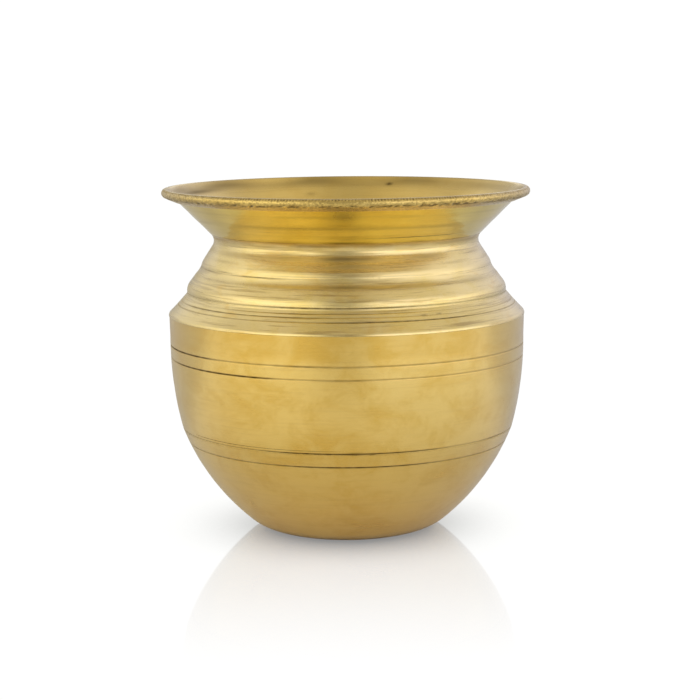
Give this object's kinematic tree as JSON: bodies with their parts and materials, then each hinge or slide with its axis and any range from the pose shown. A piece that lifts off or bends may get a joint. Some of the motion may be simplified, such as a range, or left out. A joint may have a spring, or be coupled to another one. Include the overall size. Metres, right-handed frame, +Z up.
{
  "type": "brass kalash pot",
  "caption": "Small round-bellied brass water pot with a scribed belly, ribbed shoulder, narrow neck and wide flared mouth with a knurled rolled hem, for water and puja offerings.",
  "frame": {"origin": "centre of the foot, on the surface that the pot stands on", "axes": "+Z up along the pot's axis of revolution, from the foot to the mouth; X and Y are equal"},
  "size_m": [0.1106, 0.1106, 0.1033],
  "materials": {
    "shell_brass": "lathe-turned and hand-polished yellow brass with light tarnish",
    "braze_spelter": "dull cast spelter fillet",
    "wire_brass": "drawn brass wire"
  },
  "bodies": {
    "root": {"base_bowl": "shell_brass", "bowl_braze": "braze_spelter", "belly_band": "shell_brass", "shoulder_braze": "braze_spelter", "shoulder_ring": "shell_brass", "neck_braze": "braze_spelter", "mouth_flare": "shell_brass", "rim_wire": "wire_brass"}
  },
  "joints": []
}
